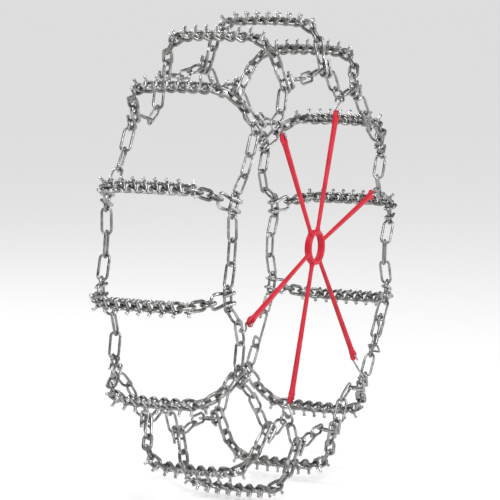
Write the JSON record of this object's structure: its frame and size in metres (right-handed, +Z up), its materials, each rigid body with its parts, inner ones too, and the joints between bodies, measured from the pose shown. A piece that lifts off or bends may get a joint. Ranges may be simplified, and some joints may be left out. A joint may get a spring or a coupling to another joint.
{
  "type": "tire snow chain set",
  "caption": "Ladder-type tire snow chain, shown as mounted: two side chains, studded cross chains, a lever fastener and a red rubber spider tightener.",
  "frame": {"origin": "centre of the tire, on the axle and midway between the two side chains", "axes": "Y along the axle with the visible outer face toward -Y; Z up; X along the road"},
  "size_m": [1.1211, 0.3469, 1.1165],
  "materials": {
    "chain_steel": "zinc-plated, satin",
    "hook_steel": "zinc-plated, bright",
    "stud_steel": "hardened alloy steel, bright",
    "lever_steel": "zinc-plated, satin",
    "red_rubber": "moulded, satin"
  },
  "bodies": {
    "frame": {"outer_flat_links": "chain_steel", "outer_standing_links": "chain_steel", "outer_cross_hooks": "hook_steel", "inner_flat_links": "chain_steel", "inner_standing_links": "chain_steel", "inner_cross_hooks": "hook_steel", "inner_closing_hook": "hook_steel", "spider_hub": "red_rubber", "spider_arm_1": "red_rubber", "spider_arm_2": "red_rubber", "spider_arm_3": "red_rubber", "spider_arm_4": "red_rubber", "spider_arm_5": "red_rubber", "spider_arm_6": "red_rubber"},
    "cross_1": {"cross_chain_1": "chain_steel", "v_bars_1": "stud_steel"},
    "cross_2": {"cross_chain_2": "chain_steel", "v_bars_2": "stud_steel"},
    "cross_3": {"cross_chain_3": "chain_steel", "v_bars_3": "stud_steel"},
    "cross_4": {"cross_chain_4": "chain_steel", "v_bars_4": "stud_steel"},
    "cross_5": {"cross_chain_5": "chain_steel", "v_bars_5": "stud_steel"},
    "cross_6": {"cross_chain_6": "chain_steel", "v_bars_6": "stud_steel"},
    "cross_7": {"cross_chain_7": "chain_steel", "v_bars_7": "stud_steel"},
    "cross_8": {"cross_chain_8": "chain_steel", "v_bars_8": "stud_steel"},
    "cross_9": {"cross_chain_9": "chain_steel", "v_bars_9": "stud_steel"},
    "cross_10": {"cross_chain_10": "chain_steel", "v_bars_10": "stud_steel"},
    "cross_11": {"cross_chain_11": "chain_steel", "v_bars_11": "stud_steel"},
    "cross_12": {"cross_chain_12": "chain_steel", "v_bars_12": "stud_steel"},
    "cross_13": {"cross_chain_13": "chain_steel", "v_bars_13": "stud_steel"},
    "cross_14": {"cross_chain_14": "chain_steel", "v_bars_14": "stud_steel"},
    "s_hook_body_1": {"s_hook_1": "hook_steel"},
    "s_hook_body_2": {"s_hook_2": "hook_steel"},
    "s_hook_body_3": {"s_hook_3": "hook_steel"},
    "s_hook_body_4": {"s_hook_4": "hook_steel"},
    "s_hook_body_5": {"s_hook_5": "hook_steel"},
    "s_hook_body_6": {"s_hook_6": "hook_steel"},
    "lever": {"fastener_lever": "lever_steel"},
    "keeper": {"fastener_keeper": "lever_steel"}
  },
  "joints": [
    {"name": "cross_swing_1", "type": "hinge", "parent": "frame", "child": "cross_1", "pos_m": [0.46051, 0, 0.06882], "axis": [0, 1, 0], "range_deg": [-12, 12]},
    {"name": "cross_swing_2", "type": "hinge", "parent": "frame", "child": "cross_2", "pos_m": [0.39701, 0, 0.24329], "axis": [0, 1, 0], "range_deg": [-12, 12]},
    {"name": "cross_swing_3", "type": "hinge", "parent": "frame", "child": "cross_3", "pos_m": [0.24329, 0, 0.39701], "axis": [0, 1, 0], "range_deg": [-12, 12]},
    {"name": "cross_swing_4", "type": "hinge", "parent": "frame", "child": "cross_4", "pos_m": [0.06078, 0, 0.46164], "axis": [0, 1, 0], "range_deg": [-12, 12]},
    {"name": "cross_swing_5", "type": "hinge", "parent": "frame", "child": "cross_5", "pos_m": [-0.15543, 0, 0.43892], "axis": [0, 1, 0], "range_deg": [-12, 12]},
    {"name": "cross_swing_6", "type": "hinge", "parent": "frame", "child": "cross_6", "pos_m": [-0.30853, 0, 0.34873], "axis": [0, 1, 0], "range_deg": [-12, 12]},
    {"name": "cross_swing_7", "type": "hinge", "parent": "frame", "child": "cross_7", "pos_m": [-0.43322, 0, 0.17065], "axis": [0, 1, 0], "range_deg": [-12, 12]},
    {"name": "cross_swing_8", "type": "hinge", "parent": "frame", "child": "cross_8", "pos_m": [-0.46348, 0, -0.04463], "axis": [0, 1, 0], "range_deg": [-12, 12]},
    {"name": "cross_swing_9", "type": "hinge", "parent": "frame", "child": "cross_9", "pos_m": [-0.40119, 0, -0.23632], "axis": [0, 1, 0], "range_deg": [-12, 12]},
    {"name": "cross_swing_10", "type": "hinge", "parent": "frame", "child": "cross_10", "pos_m": [-0.25018, 0, -0.3927], "axis": [0, 1, 0], "range_deg": [-12, 12]},
    {"name": "cross_swing_11", "type": "hinge", "parent": "frame", "child": "cross_11", "pos_m": [-0.08485, 0, -0.45783], "axis": [0, 1, 0], "range_deg": [-12, 12]},
    {"name": "cross_swing_12", "type": "hinge", "parent": "frame", "child": "cross_12", "pos_m": [0.12834, 0, -0.44759], "axis": [0, 1, 0], "range_deg": [-12, 12]},
    {"name": "cross_swing_13", "type": "hinge", "parent": "frame", "child": "cross_13", "pos_m": [0.29617, 0, -0.35929], "axis": [0, 1, 0], "range_deg": [-12, 12]},
    {"name": "cross_swing_14", "type": "hinge", "parent": "frame", "child": "cross_14", "pos_m": [0.44407, 0, -0.14002], "axis": [0, 1, 0], "range_deg": [-12, 12]},
    {"name": "arm_stretch_1", "type": "slide", "parent": "frame", "child": "s_hook_body_1", "axis": [-0.5372, 0, 0.8435], "range_m": [0, 0.005], "stiffness_N_per_m": 2500, "springref_m": -0.02, "deforming": ["spider_arm_1"]},
    {"name": "arm_stretch_2", "type": "slide", "parent": "frame", "child": "s_hook_body_2", "axis": [0.3549, 0, 0.9349], "range_m": [0, 0.005], "stiffness_N_per_m": 2500, "springref_m": -0.02, "deforming": ["spider_arm_2"]},
    {"name": "arm_stretch_3", "type": "slide", "parent": "frame", "child": "s_hook_body_3", "axis": [0.9589, 0, 0.2837], "range_m": [0, 0.005], "stiffness_N_per_m": 2500, "springref_m": -0.02, "deforming": ["spider_arm_3"]},
    {"name": "arm_stretch_4", "type": "slide", "parent": "frame", "child": "s_hook_body_4", "axis": [-0.9315, 0, -0.3638], "range_m": [0, 0.005], "stiffness_N_per_m": 2500, "springref_m": -0.02, "deforming": ["spider_arm_4"]},
    {"name": "arm_stretch_5", "type": "slide", "parent": "frame", "child": "s_hook_body_5", "axis": [-0.3456, 0, -0.9384], "range_m": [0, 0.005], "stiffness_N_per_m": 2500, "springref_m": -0.02, "deforming": ["spider_arm_5"]},
    {"name": "arm_stretch_6", "type": "slide", "parent": "frame", "child": "s_hook_body_6", "axis": [0.609, 0, -0.7932], "range_m": [0, 0.005], "stiffness_N_per_m": 2500, "springref_m": -0.02, "deforming": ["spider_arm_6"]},
    {"name": "lever_open", "type": "hinge", "parent": "frame", "child": "lever", "pos_m": [0.38118, -0.1556, -0.18652], "axis": [-0.1724, 0.9781, 0.1163], "range_deg": [0, 115]},
    {"name": "keeper_slide", "type": "slide", "parent": "frame", "child": "keeper", "axis": [0.5592, 0, 0.829], "range_m": [0, 0.018]}
  ]
}
